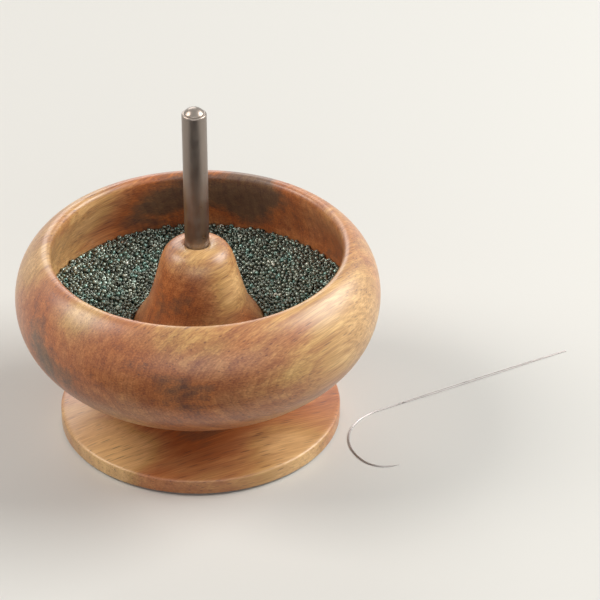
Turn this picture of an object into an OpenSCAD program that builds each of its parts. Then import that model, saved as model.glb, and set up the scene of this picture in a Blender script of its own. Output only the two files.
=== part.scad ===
// Tabletop bead spinner: a turned wooden bowl on a steel spindle that spins in a turned wooden base.
// The origin is the centre of the underside, on the table, and the spindle stands along +Z.
// Beside the base lies the curved needle, two brazed wires that part along the shaft to form its eye.

/* [Bowl] */
// Widest diameter of the bowl
bowl_d = 95; // [90:0.5:100]
// Height of the widest part above the table
belly_z = 38.5; // [37:0.5:40]
// Height of the rim above the table
rim_z = 52.5; // [51:0.5:54]
// Diameter of the mouth inside the lip
mouth_d = 75.2; // [74:0.2:77]
// Diameter of the undercut inside, just above the beads
undercut_d = 82.4; // [80:0.2:83]
// Diameter of the flat underside
bowl_foot_d = 34; // [30:1:36]
// Thickness of the floor over the flat underside
floor_t = 6.5; // [5:0.5:7.5]

/* [Hub] */
// Height of the hub's rounded top above the table
hub_z = 53.4; // [53:0.2:56]
// Diameter of the hub at its shoulder
hub_d = 20.8; // [19:0.2:22]
// Diameter of the hub where it leaves the beads
hub_root_d = 28.8; // [27:0.2:31]

/* [Base] */
// Diameter of the base
base_d = 74.4; // [70:0.2:80]
// Height of the base's rim above the table
base_rim_z = 4.8; // [4.2:0.1:5.4]
// Diameter of the base's neck, under the bowl
neck_d = 29; // [26:1:32]
// Height of the neck above the table
neck_z = 11.2; // [10.8:0.1:12]
// Thickness of the felt pad
pad_t = 1.4; // [1.2:0.1:1.6]
// Diameter of the felt pad
pad_d = 61.6; // [56:0.2:62]
// Length by which the pad stands out of its recess
pad_proud = 0.4; // [0.2:0.1:0.6]

/* [Spindle and bearing] */
// Diameter of the spindle rod
spindle_d = 6.35; // [5:0.05:8]
// Height of the spindle's domed top above the table
spindle_z = 92.6; // [85:0.2:100]
// Radius of the spindle's nose, which stands on the thrust disc
nose_r = 6; // [5:0.5:8]
// Diameter of the bush
bush_d = 9; // [8.6:0.2:10]
// Diameter of the bush's flange and of the spacer washer
flange_d = 15; // [13:0.5:18]
// Thickness of the bush's flange
flange_t = 0.8; // [0.6:0.1:1]
// Thickness of the thrust disc
disc_t = 1; // [0.8:0.1:1.2]
// Thickness of the spacer washer
washer_t = 0.8; // [0.6:0.1:1]
// Running clearance around the spindle in the bush, on the radius
running_gap = 0.05; // [0.02:0.01:0.1]
// Clearance around the spindle in the spacer washer, on the radius
washer_gap = 0.08; // [0.05:0.01:0.1]
// Clearance between the bowl and the spacer washer
lift_gap = 0.15; // [0.1:0.05:0.3]

/* [Beads] */
// Height of the beads at the wall, where spinning throws them
bead_wall_z = 35.2; // [33:0.2:36]
// Height of the beads at the hub
bead_hub_z = 31; // [28:0.5:33]
// Diameter of the round beads in the top layer, each of which stands for several small ones
bead_d = 5.2; // [4.8:0.2:6]
// Distance from one of them to the next
bead_pitch = 5; // [4.8:0.2:7]
// Height by which they stand out of the fill
bead_proud = 1.2; // [0.8:0.1:1.6]

/* [Needle] */
// Diameter of each of the two wires
wire_d = 0.25; // [0.2:0.01:0.35]
// Width over both wires in the middle of the eye
eye_w = 0.95; // [0.8:0.05:1.4]
// Length of the straight shaft
shaft_l = 61; // [50:1:70]
// Radius of the wide bend next to the shaft
wide_bend_r = 15; // [13:0.5:17]
// Angle of the wide bend
wide_bend_a = 101.5; // [95:0.5:105]
// Radius of the tight bend next to the point
tight_bend_r = 7.5; // [6.5:0.5:9]
// Angle of the tight bend
tight_bend_a = 80; // [70:1:85]
// Length of the ground point
point_l = 4; // [3:0.5:6]

/* [Hidden] */
$fn = 96;

// Segments in each curve of a profile
STEPS = 10;
// Interference of a pressed fit, on the radius
PRESS = 0.01;
// Overlap of the two wires where they are brazed together
BRAZE = 0.01;
// Axial clearance under the spacer washer
WASHER_REST = 0.05;
// Rounding of the base's top and bottom edges
EDGE_R = 0.7;
// Rounding of the spindle's shoulder, and depth and width of the fine groove under its cap
SHOULDER_R = 0.45;
GROOVE = 0.12;
// Height of the spindle's cap above its shoulder
CAP_H = 1.4;
// Gap between the fill of beads and the wood, as a share of the distance to the middle of the fill
FILL_GAP = 0.015;
// Share of that height which lies below the level of the beads
SUNK = 0.6;
// Least distance from the hub to the middle of a bead, in bead radii, as the hub's foot slopes outwards
HUB_DISTANCE = 1.4;
// Room between the outermost beads and the edge of the fill
WALL_ROOM = 0.4;
// Turn from one bead to the next that spreads them evenly over a round surface
GOLDEN_TURN = 180 * (3 - sqrt(5));
// Sides of the needle's wires, and rings along the shaft
WIRE_SIDES = 8;
SHAFT_RINGS = 18;
// Largest turn between two rings in the needle's bends
RING_TURN = 8;
// Length of the brazed joint at the tail of the needle
BRAZED_TAIL = 3;
// Radius of the needle's point
POINT_R = 0.03;
// Where the needle's tail lies on the table, and the heading from there towards the point
NEEDLE_TAIL = [100.3, 30.9];
NEEDLE_HEADING = 209.2;

bowl_r = bowl_d / 2;
mouth_r = mouth_d / 2;
undercut_r = undercut_d / 2;
base_r = base_d / 2;
neck_r = neck_d / 2;
recess_r = pad_d / 2 + 0.2;
spindle_r = spindle_d / 2;
bush_r = bush_d / 2;
flange_r = flange_d / 2;
disc_r = bush_r - 0.1;
wire_r = wire_d / 2;

bush_top_z = neck_z + flange_t;
washer_z = bush_top_z + WASHER_REST;
bowl_foot_z = washer_z + washer_t + lift_gap;
floor_z = bowl_foot_z + floor_t;
disc_z = pad_t + 1.5;
nose_z = disc_z + disc_t;
spindle_hole_r = spindle_r - PRESS;

// Places where the bowl's profile passes from one curve to the next, as [radius, height]
bowl_foot = [bowl_foot_d / 2, bowl_foot_z];
flank = [bowl_r - 2.3, belly_z - 9.5];
shoulder = [bowl_r - 2.9, rim_z - 4.3];
rim = [mouth_r + 1.6, rim_z];
lip = [mouth_r, rim_z - 1.5];
undercut = [undercut_r, belly_z - 1.5];
trough_floor = [27, floor_z];
hub_root = [hub_root_d / 2, 34];
hub_shoulder = [hub_d / 2, hub_z - 7.8];
hub_crown = [4.4, hub_z];

// Points of a cubic curve from a to d, with b and c as its handles
function curve(a, b, c, d) = [
  for (i = [0:STEPS])
    let (t = i / STEPS, u = 1 - t)
    u * u * u * a + 3 * u * u * t * b + 3 * u * t * t * c + t * t * t * d
];

// Points of an arc about a centre
function arc(centre, r, from, to, steps = STEPS) = [
  for (i = [0:steps])
    let (a = from + (to - from) * i / steps)
    centre + r * [cos(a), sin(a)]
];

// A list of points without its last one, for joining curves end to end
function open_end(points) = [for (i = [0:len(points) - 2]) points[i]];

// The bowl's outside, from the edge of its underside up to the top of the rim
function bowl_outside() = concat(
  open_end(curve(bowl_foot, bowl_foot + [8, 0], flank - [5.7, 10.5], flank)),
  open_end(curve(flank, flank + [3.25, 6], shoulder + [3.65, -5.2], shoulder)),
  open_end(curve(shoulder, shoulder + [-1.8, 2.6], rim + [1.5, 0], rim))
);

// The bowl's inside, from the rim round the lip and out to the undercut that keeps the beads in
function bowl_wall() = concat(
  open_end(curve(rim, rim - [0.9, 0], lip + [0.1, 1], lip)),
  open_end(curve(lip, lip - [0, 3.5], undercut + [-0.6, 6], undercut))
);

// The trough that holds the beads, from the undercut down over the floor and up to the hub's root
function bowl_trough() = concat(
  open_end(curve(undercut, undercut + [0.6, -6], trough_floor + [11, 0], trough_floor)),
  curve(trough_floor, trough_floor - [7, 0], hub_root + [4.4, -5.6], hub_root)
);

// The bell-shaped hub, from its root up over the shoulder to the spindle hole
function bowl_hub() = concat(
  open_end(curve(hub_root, hub_root + [-1.7, 2.4], hub_shoulder + [1.4, -5], hub_shoulder)),
  curve(hub_shoulder, hub_shoulder + [-1, 4.2], hub_crown + [4.2, -0.2], hub_crown)
);

module turned(points) {
  rotate_extrude()
    polygon(points);
}

module base_pad() {
  color("dimgray")
    cylinder(h = pad_t, d = pad_d);
}

module base_foot() {
  edge_x = base_r - EDGE_R;
  color("peru")
    turned(concat(
      [[0, pad_t], [recess_r, pad_t], [recess_r, pad_proud]],
      arc([edge_x, pad_proud + EDGE_R], EDGE_R, -90, 0),
      arc([edge_x, base_rim_z - EDGE_R], EDGE_R, 0, 75),
      curve([edge_x - 0.1, base_rim_z + 0.1], [base_r - 8, base_rim_z + 1.1],
            [neck_r + 3, base_rim_z + 2.1], [neck_r, neck_z - 0.8]),
      [[neck_r - 0.8, neck_z], [bush_r - PRESS, neck_z], [bush_r - PRESS, disc_z], [0, disc_z]]
    ));
}

module thrust_disc() {
  color("lightsteelblue")
    translate([0, 0, disc_z])
      cylinder(h = disc_t, r = disc_r);
}

module base_bush() {
  bore_r = spindle_r + running_gap;
  mouth = 0.3;
  color("goldenrod")
    turned([
      [bore_r, nose_z], [bush_r, nose_z], [bush_r, neck_z], [flange_r, neck_z],
      [flange_r, bush_top_z], [bore_r + mouth, bush_top_z], [bore_r, bush_top_z - mouth]
    ]);
}

module spacer_washer() {
  color("ivory")
    translate([0, 0, washer_z])
      difference() {
        cylinder(h = washer_t, r = flange_r);
        translate([0, 0, -1])
          cylinder(h = washer_t + 2, r = spindle_r + washer_gap);
      }
}

module bowl() {
  color("sienna")
    turned(concat(
      [[spindle_hole_r, bowl_foot_z]],
      bowl_outside(),
      bowl_wall(),
      open_end(bowl_trough()),
      bowl_hub(),
      [[spindle_hole_r, hub_z - 0.3]]
    ));
}

module spindle() {
  shoulder_x = spindle_r - SHOULDER_R;
  cap_z = spindle_z - CAP_H;
  cap_x = shoulder_x - GROOVE;
  cap_r = (cap_x * cap_x + CAP_H * CAP_H) / (2 * CAP_H);
  color("silver")
    turned(concat(
      arc([0, nose_z + nose_r], nose_r, -90, -acos(spindle_r / nose_r)),
      arc([shoulder_x, cap_z - GROOVE - SHOULDER_R], SHOULDER_R, 0, 90),
      [[cap_x, cap_z - GROOVE]],
      arc([0, spindle_z - cap_r], cap_r, acos(cap_x / cap_r), 90)
    ));
}

module bead_fill() {
  wall_level = bead_wall_z - SUNK * bead_proud;
  hub_level = bead_hub_z - SUNK * bead_proud;
  middle = (undercut + hub_root) / 2 - [0, (hub_root.y - floor_z) / 2];
  trough = [for (p = bowl_trough()) middle + (1 - FILL_GAP) * (p - middle)];
  below = [for (p = trough) if (p.y < (p.x > middle.x ? wall_level : hub_level)) p];
  at_wall = [lookup(wall_level, [for (p = trough) if (p.x > middle.x) [p.y, p.x]]), wall_level];
  at_hub = [lookup(hub_level, [for (p = trough) if (p.x < middle.x) [p.y, p.x]]), hub_level];
  surface = curve(at_hub, at_hub + [7, 1.6], at_wall + [-9, 0.6], at_wall);
  bead_r = bead_d / 2;
  nearest = at_hub.x + HUB_DISTANCE * bead_r;
  farthest = at_wall.x - bead_r - WALL_ROOM;
  spread = bead_pitch * sqrt(sqrt(3) / 2 / PI);
  color("darkslategray")
    union() {
      turned(concat(below, surface));
      for (k = [ceil(pow(nearest / spread, 2)):floor(pow(farthest / spread, 2))])
        rotate(k * GOLDEN_TURN)
          translate([spread * sqrt(k), 0, lookup(spread * sqrt(k), surface) + bead_proud - bead_r])
            sphere(r = bead_r);
    }
}

// The needle's centre line, by the distance along it from the tail
wide_l = wide_bend_r * wide_bend_a * PI / 180;
tight_l = tight_bend_r * tight_bend_a * PI / 180;
needle_l = shaft_l + wide_l + tight_l;

function along(heading) = [cos(heading), sin(heading)];
function aside(heading) = [-sin(heading), cos(heading)];

// Heading of the needle at a distance from the tail
function heading_at(s) =
  s <= shaft_l ? NEEDLE_HEADING
  : s <= shaft_l + wide_l ? NEEDLE_HEADING + wide_bend_a * (s - shaft_l) / wide_l
  : NEEDLE_HEADING + wide_bend_a + tight_bend_a * (s - shaft_l - wide_l) / tight_l;

// Place of the needle at a distance from the tail
shaft_end = NEEDLE_TAIL + shaft_l * along(NEEDLE_HEADING);
wide_centre = shaft_end + wide_bend_r * aside(NEEDLE_HEADING);
wide_end = wide_centre - wide_bend_r * aside(NEEDLE_HEADING + wide_bend_a);
tight_centre = wide_end + tight_bend_r * aside(NEEDLE_HEADING + wide_bend_a);

function place_at(s) =
  s <= shaft_l ? NEEDLE_TAIL + s * along(NEEDLE_HEADING)
  : s <= shaft_l + wide_l ? wide_centre - wide_bend_r * aside(heading_at(s))
  : tight_centre - tight_bend_r * aside(heading_at(s));

// The wires taper together to the ground point
function wire_radius(s) =
  s < needle_l - point_l ? wire_r
  : wire_r + (POINT_R - wire_r) * (s - needle_l + point_l) / point_l;

// Half the distance between the two wires: they touch, but part along the shaft to form the eye
function half_spread(s) =
  let (t = (s - BRAZED_TAIL) / (shaft_l - 2 * BRAZED_TAIL))
  wire_radius(s) - BRAZE / 2
  + (t > 0 && t < 1 ? (eye_w / 2 - 2 * wire_r) * sin(180 * t) : 0);

// Distances at which the wires get a ring of points
function ring_stations() =
  let (
    wide_rings = ceil(wide_bend_a / RING_TURN),
    tight_rings = ceil(tight_bend_a / RING_TURN),
    eye_l = shaft_l - 2 * BRAZED_TAIL
  )
  concat(
    [0],
    [for (i = [0:SHAFT_RINGS]) BRAZED_TAIL + eye_l * i / SHAFT_RINGS],
    [for (i = [0:wide_rings]) shaft_l + wide_l * i / wide_rings],
    [for (i = [1:tight_rings]) shaft_l + wide_l + tight_l * i / tight_rings]
  );

// One wire on the given side of the centre line, as rings of points joined by quads
module needle_wire(side) {
  stations = ring_stations();
  last = len(stations) - 1;
  points = [
    for (s = stations)
      let (
        h = heading_at(s),
        r = wire_radius(s),
        centre = place_at(s) + side * half_spread(s) * aside(h)
      )
      for (i = [0:WIRE_SIDES - 1])
        let (
          a = 360 * (i + 0.5) / WIRE_SIDES,
          out = r * cos(a) * aside(h)
        )
        [centre.x + out.x, centre.y + out.y, wire_r + r * sin(a)]
  ];
  quads = [
    for (k = [0:last - 1])
      for (i = [0:WIRE_SIDES - 1])
        let (j = (i + 1) % WIRE_SIDES, a = k * WIRE_SIDES, b = a + WIRE_SIDES)
        [a + i, a + j, b + j, b + i]
  ];
  tail_cap = [for (i = [WIRE_SIDES - 1:-1:0]) i];
  point_cap = [for (i = [0:WIRE_SIDES - 1]) last * WIRE_SIDES + i];
  polyhedron(points, concat([tail_cap], quads, [point_cap]));
}

module needle_inner_wire() {
  color("gainsboro")
    needle_wire(1);
}

module needle_outer_wire() {
  color("lightgray")
    needle_wire(-1);
}

base_pad();
base_foot();
thrust_disc();
base_bush();
spacer_washer();
bowl();
spindle();
bead_fill();
needle_inner_wire();
needle_outer_wire();
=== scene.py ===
"""A tabletop bead spinner: a turned wooden bowl of glass beads on a steel spindle, with base and needle."""

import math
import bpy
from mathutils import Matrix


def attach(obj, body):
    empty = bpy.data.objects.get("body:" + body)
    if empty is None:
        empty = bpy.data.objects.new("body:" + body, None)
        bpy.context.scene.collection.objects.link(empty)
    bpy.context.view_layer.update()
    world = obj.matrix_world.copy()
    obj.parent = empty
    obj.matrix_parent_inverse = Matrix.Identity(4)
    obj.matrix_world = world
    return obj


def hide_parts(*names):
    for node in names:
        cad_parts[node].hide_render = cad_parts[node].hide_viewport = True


bl_info = {
    "name": "Bead spinner",
    "version": (1, 0, 0),
    "blender": (4, 5, 0),
    "location": "View3D > Sidebar > Bead spinner",
    "description": "Builds a wooden bead spinner with its beads and needle on its fixed frame",
    "category": "Add Mesh",
}

import bmesh
import bpy
import numpy as np
from bpy.props import (
    FloatProperty,
    FloatVectorProperty,
    IntProperty,
    PointerProperty,
)
from mathutils import Matrix, Quaternion, Vector
from mathutils.geometry import interpolate_bezier
from mathutils.kdtree import KDTree

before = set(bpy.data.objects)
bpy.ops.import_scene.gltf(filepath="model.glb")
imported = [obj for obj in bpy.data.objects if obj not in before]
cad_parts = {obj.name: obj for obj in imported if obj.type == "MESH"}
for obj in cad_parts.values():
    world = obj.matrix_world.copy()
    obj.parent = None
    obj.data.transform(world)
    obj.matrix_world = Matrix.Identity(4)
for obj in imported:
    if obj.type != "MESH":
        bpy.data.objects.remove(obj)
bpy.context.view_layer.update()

MM = 0.001


# Settings


def size_mm(name, default, description):
    """A length property that is typed in millimetres."""
    return FloatProperty(name=name, default=default, min=0.0, description=description + ", in millimetres")


def angle(name, degrees, description):
    """An angle property, with its default given in degrees."""
    return FloatProperty(name=name, default=math.radians(degrees), subtype="ANGLE", description=description)


def power(name, default, description):
    """The power of a lamp, in watts."""
    return FloatProperty(name=name, default=default, min=0.0, unit="POWER", description=description)


def colour(name, default, description):
    """A colour property, in linear light."""
    return FloatVectorProperty(
        name=name, default=default, size=3, min=0.0, max=1.0, subtype="COLOR", description=description
    )


class WoodSettings(bpy.types.PropertyGroup):
    """Colours and grain of the two turned pieces."""

    pale: colour("Early wood", (0.84, 0.56, 0.26), "The pale wood of each year's growth")
    body: colour("Heart wood", (0.56, 0.32, 0.145), "The main colour of the wood")
    dark: colour("Late wood", (0.31, 0.15, 0.085), "The dark wood that ends each year's growth")
    pore: colour("Pores", (0.15, 0.055, 0.035), "The inside of the open pores")
    # The tints below also carry painted light and shade: cream for painted highlights, golden for lit
    # sides, red and smoky for painted shade
    cream: colour("Cream figure", (1.0, 1.0, 0.97), "Tint of the palest figure")
    golden: colour("Golden figure", (1.0, 0.95, 0.80), "Tint of the golden figure")
    plain: colour("Plain figure", (0.96, 0.71, 0.61), "Tint between the golden and the red figure")
    red: colour("Red figure", (0.92, 0.52, 0.34), "Tint of the red figure")
    smoky: colour("Smoky figure", (0.44, 0.46, 0.56), "Tint of the darkest figure")
    ring_gap: size_mm("Ring spacing", 1.2, "Distance from one year's ring to the next")
    fibre_angle: angle("Fibre direction", 45, "Heading of the fibres in the bowl")


class MetalSettings(bpy.types.PropertyGroup):
    """Colours of the metal, nylon and felt."""

    spindle: colour("Spindle steel", (0.29, 0.245, 0.215), "The ground rod")
    disc: colour("Hard steel", (0.46, 0.47, 0.49), "The thrust disc")
    needle: colour("Needle steel", (0.44, 0.405, 0.395), "The drawn wires of the needle")
    brass: colour("Brass", (0.62, 0.46, 0.24), "The bush")
    nylon: colour("Nylon", (0.83, 0.80, 0.72), "The spacer washer")
    felt: colour("Felt", (0.055, 0.058, 0.060), "The pad under the base")


class BeadSettings(bpy.types.PropertyGroup):
    """Sizes and colours of the seed beads."""

    width: size_mm("Bead diameter", 1.35, "Outer diameter of a seed bead")
    length: size_mm("Bead length", 1.0, "Length of a seed bead along its hole")
    hole: size_mm("Hole diameter", 0.5, "Diameter of the hole")
    depth: size_mm("Depth of loose beads", 2.3, "Depth to which the beads are modelled one by one")
    count: IntProperty(name="Number of beads", default=6800, min=8, description="Loose beads on top")
    seed: IntProperty(name="Seed", default=11, min=0, description="Start of the random numbers")
    deep: colour("Deep glass", (0.095, 0.115, 0.095), "The darkest beads")
    green: colour("Green glass", (0.26, 0.315, 0.26), "The common bead")
    teal: colour("Teal glass", (0.22, 0.43, 0.385), "The teal beads")
    smoke: colour("Smoke glass", (0.84, 0.86, 0.76), "The pale beads")


class StageSettings(bpy.types.PropertyGroup):
    """Camera, lamps and floor."""

    elevation: angle("Camera height", 32, "Angle of the camera above the table")
    distance: FloatProperty(name="Camera distance", default=0.7, unit="LENGTH", description="To the object")
    lens: FloatProperty(name="Focal length", default=161.0, unit="CAMERA", description="Focal length")
    floor: colour("Floor", (0.77, 0.785, 0.765), "The floor as the camera sees it")
    key: power("Right lamp", 10.4, "Power of the right lamp")
    fill: power("Left lamp", 5.6, "Power of the left lamp")
    back: power("Back lamp", 2.0, "Power of the back lamp")
    front: power("Front lamp", 2.9, "Power of the front lamp")


class SpinnerSettings(bpy.types.PropertyGroup):
    """All settings of the bead spinner."""

    wood: PointerProperty(type=WoodSettings)
    metal: PointerProperty(type=MetalSettings)
    beads: PointerProperty(type=BeadSettings)
    stage: PointerProperty(type=StageSettings)


# Outlines, as points of [distance from the axis, height] in millimetres


def curve(start, first_pull, second_pull, end, steps=14):
    """Points of a cubic curve; the pulls are the offsets of its handles from its two ends."""
    a, d = Vector(start), Vector(end)
    return interpolate_bezier(a, a + Vector(first_pull), d + Vector(second_pull), d, steps + 1)


def arc(centre, radius, start, end, steps=8):
    """Points of an arc between two angles in degrees."""
    turn = [math.radians(start + (end - start) * i / steps) for i in range(steps + 1)]
    return [Vector(centre) + radius * Vector((math.cos(a), math.sin(a))) for a in turn]


def joined(*parts):
    """One outline from several, without the points that two of them share."""
    points = []
    for part in parts:
        for p in part:
            p = Vector(p)
            if not points or (p - points[-1]).length > 1e-4:
                points.append(p)
    return points


def flat_ring(inner, outer, low, high, edge):
    """The section of a flat ring with broken edges, or of a disc where the inner radius is 0."""
    outside = [(outer - edge, low), (outer, low + edge), (outer, high - edge), (outer - edge, high)]
    if inner == 0:
        return [(0, low), *outside, (0, high)]
    return [(inner, low + edge), (inner + edge, low), *outside, (inner + edge, high), (inner, high - edge)]


# Base, bearing and spindle
BASE_R = 37.2
BASE_FOOT_Z = 0.4
BASE_RIM_Z = 4.8
RECESS_R = 31.0
PAD_R = 30.8
PAD_TOP = 1.4
DISC_R = 4.4
DISC_SEAT = 2.9
DISC_TOP = 3.9
BUSH_R = 4.5
NECK_TOP = 11.2
FLANGE_R = 7.5
FLANGE_TOP = 12.0
WASHER_SEAT = 12.05
WASHER_TOP = 12.85
SPINDLE_R = 3.175
SPINDLE_TOP = 92.6
NOSE_R = 6.0

# Bowl, from its foot over the rim to the hub, and the height of the beads
FOOT = Vector((17, 13))
FLANK = Vector((45.2, 29))
SHOULDER = Vector((44.6, 48.2))
RIM = Vector((39.2, 52.5))
LIP = Vector((37.6, 51))
UNDERCUT = Vector((41.2, 37))
TROUGH = Vector((27, 19.5))
HUB_ROOT = Vector((14.4, 34))
HUB_SHOULDER = Vector((10.4, 45.6))
HUB_CROWN = Vector((4.4, 53.4))
BEADS_AT_WALL = 35.2
BEADS_AT_HUB = 31.0


def trough_outline():
    """The trough that holds the beads, from the undercut down over the floor and up to the hub."""
    return joined(
        curve(UNDERCUT, (0.6, -6), (11, 0), TROUGH, 20),
        curve(TROUGH, (-7, 0), (4.4, -5.6), HUB_ROOT, 20),
    )


def bowl_outline():
    """The bowl with its hub, from the spindle hole out over the rim and back in."""
    foot_edge = 0.3
    mouth = (SPINDLE_R + 0.06, HUB_CROWN.y - 0.3)
    return joined(
        [(SPINDLE_R, FOOT.y)],
        arc((FOOT.x - foot_edge, FOOT.y + foot_edge), foot_edge, -90, -80, 1),
        curve(FOOT, (8, 0), (-5.7, -10.5), FLANK, 24),
        curve(FLANK, (3.25, 6), (3.65, -5.2), SHOULDER, 24),
        curve(SHOULDER, (-1.8, 2.6), (1.5, 0), RIM),
        curve(RIM, (-0.9, 0), (0.1, 1), LIP),
        curve(LIP, (0, -3.5), (-0.6, 6), UNDERCUT, 18),
        trough_outline(),
        curve(HUB_ROOT, (-1.7, 2.4), (1.4, -5), HUB_SHOULDER, 18),
        curve(HUB_SHOULDER, (-1, 4.2), (4.2, -0.2), HUB_CROWN, 16),
        curve(HUB_CROWN, (-0.5, 0.02), (0.02, 0.12), mouth, 5),
        [(SPINDLE_R, HUB_CROWN.y - 0.4)],
    )


def base_outline():
    """The base, from the recess for the pad out round the rim and up to the seat of the bush."""
    bevel, edge, neck_edge = 0.15, 0.7, 0.6
    crest, neck = (36.4, 4.9), Vector((13.9, 10.4))
    neck_side = (neck.x + neck_edge, neck.y)
    seat_r = BUSH_R - 0.01
    recess_wall = [(RECESS_R, PAD_TOP), (RECESS_R, BASE_FOOT_Z + bevel), (RECESS_R + bevel, BASE_FOOT_Z)]
    return joined(
        [(0, PAD_TOP), *recess_wall],
        arc((BASE_R - edge, BASE_FOOT_Z + edge), edge, -90, 0),
        arc((BASE_R - edge, BASE_RIM_Z - edge), edge, 0, 75),
        curve(crest, (-7.2, 1.0), (3, -3.5), neck_side, 30),
        arc(neck, neck_edge, 20, 90, 4),
        [(seat_r, NECK_TOP), (seat_r, DISC_SEAT), (0, DISC_SEAT)],
    )


def bush_outline():
    """The bush, from its lower end out round the flange and back to its bore."""
    bore = SPINDLE_R + 0.05
    bevel, flange_edge, mouth = 0.2, 0.15, 0.3
    return [
        (bore, DISC_TOP + bevel),
        (bore + bevel, DISC_TOP),
        (BUSH_R - bevel, DISC_TOP),
        (BUSH_R, DISC_TOP + bevel),
        (BUSH_R, NECK_TOP),
        (FLANGE_R - bevel, NECK_TOP),
        (FLANGE_R, NECK_TOP + flange_edge),
        (FLANGE_R, FLANGE_TOP - flange_edge),
        (FLANGE_R - flange_edge, FLANGE_TOP),
        (bore + mouth, FLANGE_TOP),
        (bore, FLANGE_TOP - mouth),
    ]


def spindle_outline():
    """The spindle, from its round nose on the thrust disc to the groove and the domed cap at its top."""
    shoulder_r, groove, cap_h = 0.45, 0.12, 1.4
    shoulder_x = SPINDLE_R - shoulder_r
    cap_x = shoulder_x - groove
    cap_z = SPINDLE_TOP - cap_h
    cap_r = (cap_x**2 + cap_h**2) / (2 * cap_h)
    cap_start = math.degrees(math.acos(cap_x / cap_r))
    nose_end = -math.degrees(math.acos(SPINDLE_R / NOSE_R))
    outline = joined(
        arc((0, DISC_TOP + NOSE_R), NOSE_R, -90, nose_end, 10),
        arc((shoulder_x, cap_z - groove - shoulder_r), shoulder_r, 0, 90),
        [(cap_x, cap_z - groove)],
        arc((0, SPINDLE_TOP - cap_r), cap_r, cap_start, 90, 14),
    )
    outline[0].x = outline[-1].x = 0
    return outline


# Meshes and pieces


def as_mesh(name, bm):
    """The finished mesh of a bmesh."""
    mesh = bpy.data.meshes.new(name)
    bm.to_mesh(mesh)
    bm.free()
    return mesh


def in_scene(name, data):
    """A new object in the scene that holds a mesh, a lamp or a camera."""
    thing = bpy.data.objects.new(name, data)
    bpy.context.scene.collection.objects.link(thing)
    return thing


def keep_piece(name, bm, body, slot, material, *stands_for, crease=40):
    """Puts a finished mesh into the scene as a piece that rides on a body of the frame."""
    mesh = as_mesh(name, bm)
    mesh.polygons.foreach_set("use_smooth", [True] * len(mesh.polygons))
    mesh.set_sharp_from_angle(angle=math.radians(crease))
    mesh.materials.append(material)
    piece = in_scene(name, mesh)
    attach(piece, body)
    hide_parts(*stands_for)
    return piece


def turned(outline, steps):
    """A mesh turned on the lathe: the outline spun once round the upright axis.

    An outline that starts on the axis ends there too, and another is closed to a ring.
    """
    bm = bmesh.new()
    verts = [bm.verts.new((p[0] * MM, 0, p[1] * MM)) for p in outline]
    ends = verts[1:] + (verts[:1] if outline[0][0] > 0 else [])
    edges = [bm.edges.new(pair) for pair in zip(verts, ends)]
    bmesh.ops.spin(
        bm, geom=verts + edges, cent=(0, 0, 0), axis=(0, 0, 1), angle=math.tau, steps=steps, use_merge=True
    )
    bmesh.ops.remove_doubles(bm, verts=bm.verts, dist=1e-7)
    bmesh.ops.recalc_face_normals(bm, faces=bm.faces)
    return bm


# Finishes


def shade(tone, factor):
    """A colour made darker or lighter by a factor."""
    return [c * factor for c in tone]


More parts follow.
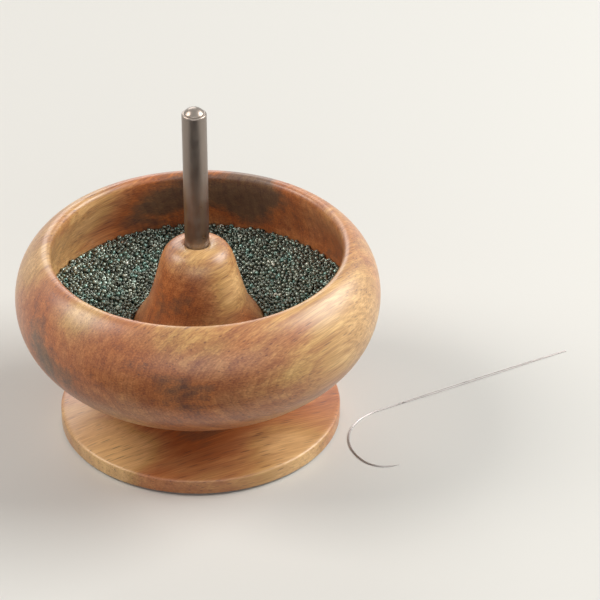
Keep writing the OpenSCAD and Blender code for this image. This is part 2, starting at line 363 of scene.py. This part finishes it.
class Finish:
    """A material, or the world, that is put together from short calls."""

    def __init__(self, name, kind=bpy.data.materials):
        self.owner = kind.new(name)
        self.owner.use_nodes = True
        self.tree = self.owner.node_tree
        self.tree.nodes.clear()

    def feed(self, socket, value):
        """Links an output to a socket, or writes a plain value into it."""
        if isinstance(value, bpy.types.NodeSocket):
            self.tree.links.new(value, socket)
        elif socket.type == "RGBA":
            socket.default_value = (*value, 1.0)
        else:
            socket.default_value = value

    def put(self, kind, *values, out=0, **named):
        """Adds a node. A name with a capital is a socket, another is a setting; returns one output."""
        node = self.tree.nodes.new("ShaderNode" + kind)
        for name, value in named.items():
            if not name[0].isupper():
                setattr(node, name, value)
        for socket, value in zip(node.inputs, values):
            self.feed(socket, value)
        for name, value in named.items():
            if name[0].isupper():
                self.feed(node.inputs[name.replace("_", " ")], value)
        return node.outputs[out]

    def sum(self, operation, *values):
        """The result of one sum on numbers."""
        return self.put("Math", *values, operation=operation)

    def vector(self, operation, *values, out=0):
        """The result of one sum on vectors."""
        return self.put("VectorMath", *values, operation=operation, out=out)

    def swayed(self, level, value, share):
        """A level raised or lowered by a share of how far a value lies above or below a half."""
        return self.sum("MULTIPLY_ADD", self.sum("SUBTRACT", value, 0.5), share, level)

    def between(self, value, low, high, to_low=0.0, to_high=1.0, kind="LINEAR"):
        """A number carried from one range to another and held there."""
        return self.put("MapRange", value, low, high, to_low, to_high, interpolation_type=kind)

    def place_mm(self):
        """The place on the piece in millimetres."""
        spot = self.put("TexCoord", out="Object")
        return self.vector("MULTIPLY", spot, (1000, 1000, 1000))

    def noise(self, spot, stretch, detail=2.0, roughness=0.5, out=0):
        """Noise from 0 to 1 on a stretched place."""
        stretched = self.vector("MULTIPLY", spot, stretch)
        return self.put(
            "TexNoise", Vector=stretched, Scale=1.0, Detail=detail, Roughness=roughness, out=out
        )

    def strayed(self, spot, stretch, amount):
        """A place moved about by soft noise, up to half of an amount to each side."""
        stray = self.vector("SUBTRACT", self.noise(spot, stretch, out="Color"), (0.5, 0.5, 0.5))
        return self.vector("ADD", spot, self.vector("MULTIPLY", stray, amount))

    def turning_marks(self, spot, fine=1.0):
        """The faint rings that a lathe tool and sandpaper leave round the axis."""
        across = self.vector("LENGTH", self.vector("MULTIPLY", spot, (1, 1, 0)), out="Value")
        height = self.put("SeparateXYZ", spot, out="Z")
        section = self.put("CombineXYZ", across, 0.0, height)
        return self.noise(section, (2.4 * fine, 1, 2.4 * fine), detail=4.0, roughness=0.6)

    def ramp(self, value, *stops):
        """A colour from a row of (position, colour) stops."""
        node = self.tree.nodes.new("ShaderNodeValToRGB")
        cells = node.color_ramp.elements
        while len(cells) < len(stops):
            cells.new(0.5)
        for cell, (position, tone) in zip(cells, stops):
            cell.position = position
            cell.color = (*tone, 1.0)
        self.feed(node.inputs[0], value)
        return node.outputs[0]

    def mixed(self, share, first, second, blend="MIX"):
        """Two colours mixed by a share."""
        node = self.tree.nodes.new("ShaderNodeMix")
        node.data_type = "RGBA"
        node.blend_type = blend
        for index, value in ((0, share), (6, first), (7, second)):
            self.feed(node.inputs[index], value)
        return node.outputs[2]

    def background_rays(self):
        """1 for rays from the camera, in reflections and in glass, and 0 for rays that light the object."""
        rays = self.tree.nodes.new("ShaderNodeLightPath")
        seen = self.sum("MAXIMUM", rays.outputs["Is Camera Ray"], rays.outputs["Is Glossy Ray"])
        return self.sum("MAXIMUM", seen, rays.outputs["Is Transmission Ray"])

    def bump(self, height, depth_mm, strength=1.0):
        """A bump from a height of 0 to 1."""
        return self.put("Bump", Height=height, Distance=depth_mm * MM, Strength=strength, out="Normal")

    def ended(self, kind, shader):
        """Joins the last shader to the output, and returns the finished material or world."""
        output = self.tree.nodes.new("ShaderNodeOutput" + kind)
        self.tree.links.new(shader, output.inputs["Surface"])
        return self.owner

    def done(self, **sockets):
        """Ends the material in one Principled shader."""
        return self.ended("Material", self.put("BsdfPrincipled", **sockets))


def year_rings(f, grain, pith, gap):
    """The late wood at the end of each year's ring, from 0 to 1, and slow bands over the years."""
    off_pith = f.vector("MULTIPLY", f.vector("SUBTRACT", grain, pith), (0, 1, 1))
    radius = f.vector("LENGTH", off_pith, out="Value")
    drift = f.put("TexNoise", noise_dimensions="1D", W=radius, Scale=0.16, Detail=2.0)
    years = f.sum("MULTIPLY_ADD", drift, 5.0, f.sum("DIVIDE", radius, gap))
    late = f.sum("POWER", f.sum("FRACT", years), 2.4)
    band = f.put("TexNoise", noise_dimensions="1D", W=radius, Scale=0.30, Detail=2.0)
    return late, band


def open_pores(f, grain, streak):
    """Long open pores as numbers from 0 to 1, fainter where the streaks are pale."""
    cells = f.vector("MULTIPLY", grain, (0.11, 1.4, 1.4))
    pits = f.put("TexVoronoi", Vector=cells, Scale=1.0, Randomness=1.0, out="Distance")
    return f.sum("MULTIPLY", f.between(pits, 0.15, 0.27, 1.0, 0.0), f.between(streak, 0.35, 0.6, 1.0, 0.25))


def wood_figure_and_painted_light(f, spot, grain, streak, fibre, painted_patches):
    """From 0 where the wood is smoky to 1 where it is cream: the wood's figure, frayed along the fibres,
    with painted light and shade added in round spots.
    """
    figure_and_painted_light = f.sum("MULTIPLY_ADD", f.noise(grain, (0.05, 0.09, 0.09), detail=1.5), 0.6, 0.2)
    figure_and_painted_light = f.swayed(figure_and_painted_light, streak, 0.3)
    figure_and_painted_light = f.swayed(figure_and_painted_light, fibre, 0.2)
    # Each spot adds painted light where its strength is above 0 and painted shade where it is below
    for centre, radius, strength in painted_patches:
        away = f.vector("DISTANCE", spot, centre, out="Value")
        figure_and_painted_light = f.sum("ADD", figure_and_painted_light, f.between(away, 0.0, radius, strength, 0.0, "SMOOTHSTEP"))
    return figure_and_painted_light


def turned_wood(name, wood, turn, shift, pith, contrast, painted_patches):
    """Lacquered hardwood as a solid: faint rings about a far pith, fibres, pores, figure, and painted light
    and shade in round spots.
    """
    f = Finish(name)
    spot = f.place_mm()
    grain = f.put("Mapping", Vector=spot, Rotation=(0, 0, -(wood.fibre_angle + turn)), Location=shift)
    grain = f.strayed(grain, (0.012, 0.03, 0.03), (0, 9, 9))
    late, band = year_rings(f, grain, pith, wood.ring_gap)
    fibre = f.noise(grain, (0.08, 2.6, 2.6), detail=3.0, roughness=0.6)
    streak = f.noise(grain, (0.06, 0.5, 0.5))
    pores = open_pores(f, grain, streak)
    figure_and_painted_light = wood_figure_and_painted_light(f, spot, grain, streak, fibre, painted_patches)

    # From 0 for the darkest wood to 1 for the palest
    tone = f.swayed(0.54, fibre, 0.9)
    tone = f.swayed(tone, streak, 0.55)
    tone = f.swayed(tone, band, 0.3)
    tone = f.sum("MULTIPLY_ADD", late, -0.13, tone)
    tone = f.swayed(0.5, tone, contrast)
    # Painted light and shade: the spots laid into the figure lighten and darken the tone
    tone = f.swayed(tone, figure_and_painted_light, 0.3)

    # The wood's own colour, tinted by the figure and by the painted light and shade laid on it, with the
    # pores on top
    timber = f.ramp(tone, (0.12, wood.dark), (0.5, wood.body), (0.88, wood.pale))
    # The cream end of this ramp is a painted highlight and the smoky end painted shade, reached mostly
    # through the painted spots
    tint = f.ramp(
        figure_and_painted_light,
        (0.0, wood.smoky),
        (0.22, wood.red),
        (0.48, wood.plain),
        (0.72, wood.golden),
        (0.95, shade(wood.cream, 1.12)),
    )
    timber = f.mixed(1.0, timber, tint, "MULTIPLY")
    timber = f.mixed(f.sum("MULTIPLY", pores, 0.75), timber, wood.pore)

    # Sunken pores, raised fibres and the marks of the lathe
    relief = f.sum("MULTIPLY_ADD", pores, -0.9, f.sum("MULTIPLY", fibre, 0.5))
    relief = f.sum("MULTIPLY_ADD", f.turning_marks(spot), 0.22, relief)
    return f.done(
        Base_Color=timber,
        Roughness=f.between(fibre, 0.3, 0.7, 0.46, 0.36),
        Normal=f.bump(relief, 0.045, 0.7),
        Specular_IOR_Level=0.5,
        Coat_Weight=0.5,
        Coat_Roughness=0.32,
    )


def ground_steel(name, tone, rough=0.32, fine=2.0, depth_mm=0.006):
    """Metal ground or turned: fine rings round the axis, and a soft smear that changes its gloss."""
    f = Finish(name)
    spot = f.place_mm()
    smear = f.noise(spot, (0.6, 0.6, 0.35), detail=3.0)
    return f.done(
        Base_Color=f.mixed(smear, shade(tone, 0.93), shade(tone, 1.07)),
        Metallic=1.0,
        Roughness=f.between(smear, 0.25, 0.75, rough - 0.05, rough + 0.07),
        Normal=f.bump(f.turning_marks(spot, fine), depth_mm, 0.8),
    )


def drawn_wire(name, tone):
    """Thin drawn steel with fine marks and a slight stain of handling."""
    f = Finish(name)
    spot = f.place_mm()
    stain = f.noise(spot, (0.5, 0.5, 0.5), detail=3.0)
    return f.done(
        Base_Color=f.mixed(stain, shade(tone, 0.75), shade(tone, 1.2)),
        Metallic=1.0,
        Roughness=f.between(stain, 0.3, 0.7, 0.26, 0.4),
        Normal=f.bump(f.noise(spot, (9, 9, 9)), 0.004, 0.6),
    )


def moulded_nylon(name, tone):
    """Milky nylon with the faint cloudiness of a pressed washer."""
    f = Finish(name)
    spot = f.place_mm()
    cloud = f.noise(spot, (0.35, 0.35, 0.35), detail=4.0)
    return f.done(
        Base_Color=f.mixed(cloud, shade(tone, 0.93), tone),
        Roughness=f.between(cloud, 0.3, 0.7, 0.38, 0.5),
        Normal=f.bump(f.turning_marks(spot, 1.6), 0.01, 0.6),
        Subsurface_Weight=0.15,
        Subsurface_Radius=(0.002, 0.0018, 0.0014),
        Subsurface_Scale=0.5,
    )


def pressed_felt(name, tone):
    """Wool felt: matted fibres over soft lumps, with a little lint."""
    f = Finish(name)
    spot = f.place_mm()
    matted = f.strayed(spot, (0.7, 0.7, 0.7), (3, 3, 3))
    along = f.noise(matted, (0.5, 7, 3), detail=4.0)
    across = f.noise(matted, (7, 0.5, 3), detail=4.0)
    hair = f.sum("MAXIMUM", along, across)
    lump = f.noise(spot, (0.8, 0.8, 0.8), detail=3.0)
    lint = f.between(f.noise(matted, (2.6, 2.6, 2.6), detail=5.0, roughness=0.7), 0.66, 0.74)
    wool = f.mixed(f.between(hair, 0.4, 0.75), shade(tone, 0.55), shade(tone, 1.7))
    return f.done(
        Base_Color=f.mixed(f.sum("MULTIPLY", lint, 0.5), wool, shade(tone, 4)),
        Roughness=f.between(lump, 0.2, 0.8, 0.86, 1.0),
        Normal=f.bump(f.sum("ADD", hair, lump), 0.16, 0.9),
        Sheen_Weight=0.35,
        Sheen_Roughness=0.5,
    )


def bead_glass(name, beads):
    """Dark pressed glass with a faint lustre; each bead carries its own tint."""
    f = Finish(name)
    glass = f.ramp(
        f.put("Attribute", attribute_name="tint", out="Fac"),
        (0.0, beads.deep),
        (0.35, beads.green),
        (0.62, beads.green),
        (0.8, beads.teal),
        (1.0, beads.smoke),
    )
    darker = f.mixed(1.0, glass, (0.6, 0.62, 0.6), "MULTIPLY")
    swirl = f.noise(f.place_mm(), (1.6, 1.6, 1.6))
    return f.done(
        Base_Color=f.mixed(f.between(swirl, 0.35, 0.65), glass, darker),
        Roughness=f.between(swirl, 0.3, 0.7, 0.14, 0.26),
        Normal=f.bump(swirl, 0.01, 0.3),
        Metallic=0.45,
        Specular_IOR_Level=0.62,
        Coat_Weight=0.7,
        Coat_Roughness=0.08,
    )


# Painted light and shade on the wood, as patches of figure, each (centre, radius, strength) with lengths in
# millimetres.
# A patch with a strength above 0 turns the wood golden and then cream: painted light where the lamps fall
# on it, up to a painted highlight. One below 0 turns it red and then smoky: painted shade where the wood
# lies out of the light.
BOWL_PAINTED_LIGHT_AND_SHADE = [
    # Outer side, from the left round the front to the right: painted shade at the left and front, a painted
    # highlight on the left shoulder, painted light on the front of the rim and the lit right flank
    ((-41, -21, 42), 19, -0.40),
    ((-31, -34, 34), 20, -0.34),
    ((-29, -31, 50), 11, 0.34),
    ((-16, -44, 42), 14, -0.24),
    ((-4, -47, 39), 15, -0.34),
    ((10, -46, 36), 18, -0.14),
    ((2, -42, 22), 22, -0.22),
    ((0, -39, 52), 17, 0.26),
    ((33, -28, 49), 14, 0.20),
    ((42, -18, 44), 32, 0.34),
    # Rim and inner wall, from the left round the back to the right: painted light and highlight on the rim
    # and the inner left wall that the right lamp lights, painted shade on the inner back and right wall
    ((-42, -4, 50), 17, 0.30),
    ((-26, 28, 52), 18, 0.30),
    ((-34, 16, 42), 22, 0.34),
    ((-13, 38, 45), 23, -0.50),
    ((5, 39, 46), 20, -0.40),
    ((17, 36, 46), 20, -0.45),
    ((34, 20, 38), 18, -0.29),
    # Hub: painted shade low down, at the left and at the front, painted light on the lit right side and the
    # crown
    ((-9, -8, 38), 14, -0.36),
    ((-1, -12, 43), 9, -0.28),
    ((14, -8, 34), 8, -0.35),
    ((9, -5, 44), 11, 0.45),
    ((0, -3, 52), 8, 0.30),
]
BASE_PAINTED_LIGHT_AND_SHADE = [
    # Painted light on the pale top where the lamps reach past the bowl, a cream painted highlight at the
    # left front, red at the right
    ((-22, -25, 6), 17, 0.95),
    ((-33, -8, 5), 16, 0.28),
    ((24, -25, 6), 18, 0.65),
    ((36, 2, 6), 18, -0.15),
    # Painted shade in front of the neck, where the bowl shades the base, and a little on the front edge
    ((-12, -11, 8), 15, -0.45),
    ((12, -11, 8), 15, -0.45),
    ((1, -20, 7), 15, -0.45),
    ((-8, -36, 2), 14, -0.10),
]


# Operators


class SPINNER_OT_turn_wood(bpy.types.Operator):
    """Turns the bowl with its hub, and the base, from two blanks of the same wood"""

    bl_idname = "spinner.turn_wood"
    bl_label = "Bowl and base"

    def execute(self, context):
        wood = context.scene.bead_spinner.wood
        # Both pieces are tinted with painted light and shade from the tables of spots further down
        bowl_wood = turned_wood(
            "bowl_wood",
            wood,
            turn=0.0,
            shift=(0, 0, 0),
            pith=(0, -80, 37),
            contrast=1.0,
            painted_patches=BOWL_PAINTED_LIGHT_AND_SHADE,
        )
        base_wood = turned_wood(
            "base_wood",
            wood,
            turn=math.radians(-18),
            shift=(12, 9, 31),
            pith=(0, -62, 24),
            contrast=0.6,
            painted_patches=BASE_PAINTED_LIGHT_AND_SHADE,
        )
        bowl = turned(bowl_outline(), steps=160)
        base = turned(base_outline(), steps=144)
        keep_piece("turned_bowl", bowl, "bowl", "bowl_wood", bowl_wood, "bowl")
        keep_piece("turned_base", base, "base", "base_wood", base_wood, "base_foot")
        return {"FINISHED"}


class SPINNER_OT_fit_bearing(bpy.types.Operator):
    """Makes the bearing in the base: bush, thrust disc and spacer washer"""

    bl_idname = "spinner.fit_bearing"
    bl_label = "Bearing"

    def execute(self, context):
        metal = context.scene.bead_spinner.metal
        bush = turned(bush_outline(), steps=96)
        disc = turned(flat_ring(0, DISC_R, DISC_SEAT, DISC_TOP, edge=0.15), steps=96)
        washer = turned(flat_ring(SPINDLE_R + 0.08, FLANGE_R, WASHER_SEAT, WASHER_TOP, edge=0.1), steps=96)
        brass = ground_steel("brass", metal.brass, rough=0.34, fine=1.4, depth_mm=0.012)
        steel = ground_steel("hard_steel", metal.disc, rough=0.16, fine=2.5, depth_mm=0.004)
        nylon = moulded_nylon("nylon", metal.nylon)
        keep_piece("brass_bush", bush, "base", "brass", brass, "base_bush")
        keep_piece("steel_thrust_disc", disc, "base", "hard_steel", steel, "thrust_disc")
        keep_piece("nylon_washer", washer, "washer", "nylon", nylon, "spacer_washer")
        return {"FINISHED"}


class SPINNER_OT_cut_pad(bpy.types.Operator):
    """Cuts the felt pad under the base"""

    bl_idname = "spinner.cut_pad"
    bl_label = "Felt pad"

    def execute(self, context):
        felt = pressed_felt("felt", context.scene.bead_spinner.metal.felt)
        edge = 0.2
        rim = arc((PAD_R - edge, edge), edge, -90, 0, 4)
        pad = turned(joined([(0, 0)], rim, [(PAD_R, PAD_TOP), (0, PAD_TOP)]), steps=120)
        keep_piece("felt_pad", pad, "base", "felt", felt, "base_pad")
        return {"FINISHED"}


class SPINNER_OT_grind_spindle(bpy.types.Operator):
    """Makes the steel spindle, with its round nose, shoulder and domed cap"""

    bl_idname = "spinner.grind_spindle"
    bl_label = "Spindle"

    def execute(self, context):
        steel = ground_steel("spindle_steel", context.scene.bead_spinner.metal.spindle)
        rod = turned(spindle_outline(), steps=96)
        keep_piece("steel_spindle", rod, "bowl", "spindle_steel", steel, "spindle", crease=50)
        return {"FINISHED"}


# The bed of beads is drawn in a little towards the middle of its section, so that it stays off the wood
BED_MIDDLE = Vector((27.9, 29.25))
BED_SHARE = 0.985

# The loose beads settle as balls, a little smaller than a bead is wide. They sink by a small step in each
# round but the last ones. Two balls are each pushed back by a share of their overlap, so that they come to
# rest. Which balls are close, within a reach in ball radii, is looked up every few rounds.
BALL_SHARE = 0.46
ROUNDS, SINKING_ROUNDS, LOOK_UP_ROUNDS = 96, 80, 4
SINK = 0.02
PUSH = 0.45
REACH = 2.6


def fill_surface(drop):
    """The top of the beads from the hub to the wall, let down by a depth."""
    wall = next(p for p in trough_outline() if p.y <= BEADS_AT_WALL - drop)
    hub = next(p for p in reversed(trough_outline()) if p.y <= BEADS_AT_HUB - drop)
    return curve(hub, (7, 1.6), (-9, 0.6), wall, 24)


def bed_outline(depth):
    """The section of the bed of beads under the loose ones."""
    surface = fill_surface(depth)
    hub_side, wall_side = surface[0], surface[-1]
    below = [p for p in trough_outline() if p.y < (wall_side.y if p.x > BED_MIDDLE.x else hub_side.y)]
    return [BED_MIDDLE + (p - BED_MIDDLE) * BED_SHARE for p in joined(surface, below)]


def close_pairs(spots, reach):
    """The numbers of all balls that lie nearer to each other than a reach, as two rows."""
    tree = KDTree(len(spots))
    for i, p in enumerate(spots):
        tree.insert(p, i)
    tree.balance()
    pairs = [(i, j) for i, p in enumerate(spots) for _, j, _ in tree.find_range(p, reach) if j > i]
    return np.array(pairs).T


def settled_beads(beads, rng):
    """Centres of the loose beads in millimetres, as balls that push each other apart while they sink."""
    trough = np.array(trough_outline())
    lowest = int(trough[:, 1].argmin())
    wall_r, wall_z = trough[lowest::-1].T
    hub_r, hub_z = trough[lowest:].T
    top_r, top_z = np.array(fill_surface(0.0)).T
    ball = BALL_SHARE * beads.width

    start_r = np.sqrt(rng.uniform(top_r[0] ** 2, top_r[-1] ** 2, beads.count))
    heading = rng.uniform(0, math.tau, beads.count)
    start_z = np.interp(start_r, top_r, top_z) - rng.uniform(0, beads.depth, beads.count)
    spots = np.stack([start_r * np.cos(heading), start_r * np.sin(heading), start_z], 1)
    for step in range(ROUNDS):
        if step % LOOK_UP_ROUNDS == 0:
            one, two = close_pairs(spots, REACH * ball)
        apart = spots[one] - spots[two]
        length = np.linalg.norm(apart, axis=1) + 1e-9
        push = apart * (np.clip(2 * ball - length, 0, None) * PUSH / length)[:, None]
        np.add.at(spots, one, push)
        np.add.at(spots, two, -push)
        if step < SINKING_ROUNDS:
            spots[:, 2] -= SINK
        r = np.hypot(spots[:, 0], spots[:, 1])
        inner = np.interp(spots[:, 2], hub_z, hub_r) + ball
        outer = np.interp(spots[:, 2], wall_z, wall_r) - ball
        held = np.clip(r, inner, outer) / r
        spots[:, :2] *= held[:, None]
        ceiling = np.interp(r * held, top_r, top_z)
        spots[:, 2] = np.clip(spots[:, 2], ceiling - beads.depth + 0.3, ceiling - 0.35 * ball)
    return spots


def one_bead(beads):
    """One seed bead as a small mesh: a round-edged ring with few faces."""
    hole, wide, half = beads.hole / 2, beads.width / 2, beads.length / 2
    belly = wide * 0.97
    crest = (hole + wide) / 2
    outline = [
        (hole, -half * 0.62),
        (crest, -half),
        (belly, -half * 0.46),
        (belly, half * 0.46),
        (crest, half),
        (hole, half * 0.62),
    ]
    return as_mesh("seed_bead", turned(outline, steps=8))


def tint_piece(piece, values):
    """Writes the tint of the glass onto every vertex of a piece."""
    tint = piece.data.attributes.new("tint", "FLOAT", "POINT")
    tint.data.foreach_set("value", values.astype(np.float32))


class SPINNER_OT_pour_beads(bpy.types.Operator):
    """Pours the seed beads: a bed below, and loose single beads on top that were let settle"""

    bl_idname = "spinner.pour_beads"
    bl_label = "Beads"

    def execute(self, context):
        beads = context.scene.bead_spinner.beads
        glass = bead_glass("bead_glass", beads)
        bed = turned(bed_outline(beads.depth), steps=96)
        bed = keep_piece("bead_bed", bed, "bowl", "beads", glass, "bead_fill")
        # The whole bed takes the darkest glass: painted shade for the depths of the pile seen between the
        # loose beads
        tint_piece(bed, np.zeros(len(bed.data.vertices)))

        rng = np.random.default_rng(beads.seed)
        spots = settled_beads(beads, rng)
        pattern = one_bead(beads)
        shape = np.zeros(len(pattern.vertices) * 3)
        pattern.vertices.foreach_get("co", shape)
        shape = shape.reshape(-1, 3)
        by_heading = np.argsort(np.arctan2(spots[:, 1], spots[:, 0]))
        for number, share in enumerate(np.array_split(by_heading, 4), 1):
            bm = bmesh.new()
            for i in share:
                turn = np.array(Quaternion(rng.normal(size=4)).normalized().to_matrix())
                scale = rng.normal(1.0, 0.035, 3)
                pattern.vertices.foreach_set("co", (shape * scale @ turn.T + spots[i] * MM).ravel())
                bm.from_mesh(pattern)
            piece = keep_piece(f"bead_pile_{number}", bm, "bowl", "beads", glass, "bead_fill", crease=180)
            tint_piece(piece, np.repeat(rng.beta(1.3, 1.6, len(share)), len(shape)))
        bpy.data.meshes.remove(pattern)
        return {"FINISHED"}


# The needle: a straight shaft, a wide bend and a tight hook, with the place and heading of its tail
WIRE_R = 0.125
TIP_R = 0.03
POINT = 4.0
SHAFT = 61.0
WIDE_R, WIDE_TURN = 15.0, math.radians(101.5)
TIGHT_R, TIGHT_TURN = 7.5, math.radians(80)
TAIL_SPOT, TAIL_HEADING = Vector((100.3, 30.9)), math.radians(209.2)

# The two wires overlap a little, and part along the shaft, but not at its ends, to form the eye
WIRE_OVERLAP = 0.005
EYE_HALF = 0.225
EYE_END = 3.0


def needle_line():
    """The needle's centre line from its tail: (distance, place, heading) at each station."""
    spans = [(SHAFT, 0.0, 48), (WIDE_R * WIDE_TURN, WIDE_TURN, 30), (TIGHT_R * TIGHT_TURN, TIGHT_TURN, 26)]
    distance, place, heading = 0.0, TAIL_SPOT.copy(), TAIL_HEADING
    line = [(distance, place.copy(), heading)]
    for length, turn, steps in spans:
        half_turn = turn / steps / 2
        chord = length / steps * (math.sin(half_turn) / half_turn if turn else 1.0)
        for _ in range(steps):
            heading += half_turn
            place = place + chord * Vector((math.cos(heading), math.sin(heading)))
            heading += half_turn
            distance += length / steps
            line.append((distance, place.copy(), heading))
    return line


def needle_wire(line, side):
    """One of the needle's two wires, at one side of the centre line, as a tube that tapers to the point."""
    whole = line[-1][0]
    bm = bmesh.new()
    rings = []
    for distance, place, heading in line:
        taper = max(0.0, (distance - whole + POINT) / POINT)
        radius = WIRE_R + (TIP_R - WIRE_R) * taper
        along = min(1.0, max(0.0, (distance - EYE_END) / (SHAFT - 2 * EYE_END)))
        aside = side * (radius - WIRE_OVERLAP + EYE_HALF * math.sin(math.pi * along))
        spot = place + aside * Vector((-math.sin(heading), math.cos(heading)))
        stand = Matrix.Rotation(heading, 4, "Z") @ Matrix.Rotation(math.pi / 2, 4, "Y")
        stand = Matrix.Translation(Vector((spot.x, spot.y, WIRE_R)) * MM) @ stand
        ring = bmesh.ops.create_circle(bm, segments=12, radius=radius * MM, matrix=stand)["verts"]
        rings.append(list({e for v in ring for e in v.link_edges}))
    for first, second in zip(rings, rings[1:]):
        bmesh.ops.bridge_loops(bm, edges=first + second)
    for end in (rings[0], rings[-1]):
        bmesh.ops.contextual_create(bm, geom=end)
    bmesh.ops.recalc_face_normals(bm, faces=bm.faces)
    return bm


class SPINNER_OT_bend_needle(bpy.types.Operator):
    """Bends the needle from two wires that touch in the hook and part along the shaft to form the eye"""

    bl_idname = "spinner.bend_needle"
    bl_label = "Needle"

    def execute(self, context):
        steel = drawn_wire("needle_steel", context.scene.bead_spinner.metal.needle)
        line = needle_line()
        for name, side in (("needle_inner", 1), ("needle_outer", -1)):
            wire = needle_wire(line, side)
            keep_piece(name, wire, "needle", "needle_steel", steel, f"{name}_wire", crease=60)
        return {"FINISHED"}


# The stage, in metres. The backdrop is brighter than the floor by a factor, and the floor fades into it
# between two distances from the middle. The floor throws only a share of its colour up at the object.
BACKDROP = 1.12
ROOM_TONE = (0.037, 0.038, 0.04)
FLOOR_HALF = 3.0
FADE_START, FADE_END = 0.45, 1.1
FLOOR_SHARE = 0.45
FLAG_SIZE = (0.26, 0.30)
FLAG_SPOT = (0.0, -0.21, 0.0006)
LAMP_AIM = Vector((0, 0, 0.04))
CAMERA_AIM = Vector((0.0265, 0.0, 0.036))


class SPINNER_OT_set_stage(bpy.types.Operator):
    """Sets the camera, the lamps, the world and the pale floor"""

    bl_idname = "spinner.set_stage"
    bl_label = "Stage"

    def execute(self, context):
        scene = context.scene
        stage = scene.bead_spinner.stage
        self.lay_floor(stage.floor)
        self.lay_flag()
        self.hang_lamps(stage)
        self.stand_camera(scene, stage)
        scene.world = self.soft_room(stage.floor)
        scene.view_settings.view_transform = "Standard"
        return {"FINISHED"}

    def lay_floor(self, tone):
        """A wide floor, pale where it is seen, which throws less light upwards and ends in the backdrop."""
        f = Finish("pale_floor")
        seen = f.background_rays()
        reach = f.vector("LENGTH", f.put("TexCoord", out="Object"), out="Value")
        glow = f.sum("MULTIPLY", f.between(reach, FADE_START, FADE_END, kind="SMOOTHSTEP"), seen)
        cover = f.mixed(seen, shade(tone, FLOOR_SHARE), tone)
        paper = f.done(
            Base_Color=f.mixed(glow, cover, (0.0, 0.0, 0.0)),
            Roughness=1.0,
            Specular_IOR_Level=0.0,
            Emission_Color=shade(tone, BACKDROP),
            Emission_Strength=glow,
        )
        bm = bmesh.new()
        bmesh.ops.create_grid(bm, x_segments=8, y_segments=8, size=FLOOR_HALF)
        floor = in_scene("floor", as_mesh("floor", bm))
        floor.data.materials.append(paper)

    def lay_flag(self):
        """A dark card that only shows in reflections, as a photographer lays it in front of metal."""
        f = Finish("flag_card")
        card = f.done(Base_Color=(0.03, 0.028, 0.026), Roughness=1.0, Specular_IOR_Level=0.0)
        bm = bmesh.new()
        bmesh.ops.create_grid(bm, x_segments=2, y_segments=2, size=0.5)
        bmesh.ops.scale(bm, vec=(*FLAG_SIZE, 1), verts=bm.verts)
        bmesh.ops.translate(bm, vec=FLAG_SPOT, verts=bm.verts)
        flag = in_scene("front_flag", as_mesh("front_flag", bm))
        flag.data.materials.append(card)
        flag.visible_camera = flag.visible_diffuse = flag.visible_shadow = False

    def hang_lamps(self, stage):
        """Soft lamps at the right, the left, the back and the front, each (power, place, size, colour)."""
        lamps = {
            "right_lamp": (stage.key, (0.80, 0.17, 0.60), (0.68, 0.60), (1.0, 0.97, 0.93)),
            "left_lamp": (stage.fill, (-0.72, 0.03, 0.72), (0.50, 0.50), (1.0, 0.91, 0.84)),
            "back_lamp": (stage.back, (-0.17, 0.86, 0.48), (0.50, 0.40), (1.0, 0.98, 0.96)),
            "front_lamp": (stage.front, (0.10, -0.92, 0.34), (1.30, 0.50), (1.0, 0.98, 0.96)),
        }
        for name, (watts, spot, (wide, high), tone) in lamps.items():
            lamp = bpy.data.lights.new(name, "AREA")
            lamp.shape = "RECTANGLE"
            lamp.size, lamp.size_y = wide, high
            lamp.energy = watts
            lamp.color = tone
            holder = in_scene(name, lamp)
            holder.location = spot
            holder.rotation_euler = (LAMP_AIM - Vector(spot)).to_track_quat("-Z", "Y").to_euler()

    def soft_room(self, floor_tone):
        """A world that is as pale as the backdrop where it is seen, and lights the object only dimly."""
        f = Finish("soft_room", bpy.data.worlds)
        tone = f.mixed(f.background_rays(), ROOM_TONE, shade(floor_tone, BACKDROP))
        return f.ended("World", f.put("Background", Color=tone))

    def stand_camera(self, scene, stage):
        """A long lens at the front, above the table, aimed at the middle of spinner and needle."""
        camera = bpy.data.cameras.new("camera")
        camera.lens = stage.lens
        camera.clip_start, camera.clip_end = 0.05, 20.0
        holder = in_scene("camera", camera)
        back = Vector((0, -math.cos(stage.elevation), math.sin(stage.elevation)))
        holder.location = CAMERA_AIM + back * stage.distance
        holder.rotation_euler = (-back).to_track_quat("-Z", "Y").to_euler()
        scene.camera = holder


class SPINNER_PT_panel(bpy.types.Panel):
    """Lists the pieces of the bead spinner and their settings"""

    bl_idname = "SPINNER_PT_panel"
    bl_label = "Bead spinner"
    bl_space_type = "VIEW_3D"
    bl_region_type = "UI"
    bl_category = "Bead spinner"

    def draw(self, context):
        settings = context.scene.bead_spinner
        for operator in OPERATORS:
            self.layout.operator(operator.bl_idname)
        for group in (settings.wood, settings.metal, settings.beads, settings.stage):
            box = self.layout.box()
            for name in group.__annotations__:
                box.prop(group, name)


OPERATORS = (
    SPINNER_OT_turn_wood,
    SPINNER_OT_fit_bearing,
    SPINNER_OT_cut_pad,
    SPINNER_OT_grind_spindle,
    SPINNER_OT_pour_beads,
    SPINNER_OT_bend_needle,
    SPINNER_OT_set_stage,
)
CLASSES = (
    WoodSettings,
    MetalSettings,
    BeadSettings,
    StageSettings,
    SpinnerSettings,
    *OPERATORS,
    SPINNER_PT_panel,
)


def register():
    """Adds the classes and the settings to Blender."""
    for cls in CLASSES:
        bpy.utils.register_class(cls)
    bpy.types.Scene.bead_spinner = PointerProperty(type=SpinnerSettings)


def unregister():
    """Takes the settings and the classes out again."""
    del bpy.types.Scene.bead_spinner
    for cls in reversed(CLASSES):
        bpy.utils.unregister_class(cls)


def main():
    """Builds every piece and the stage."""
    register()
    for operator in OPERATORS:
        group, name = operator.bl_idname.split(".")
        getattr(getattr(bpy.ops, group), name)()


if __name__ == "__main__":
    main()
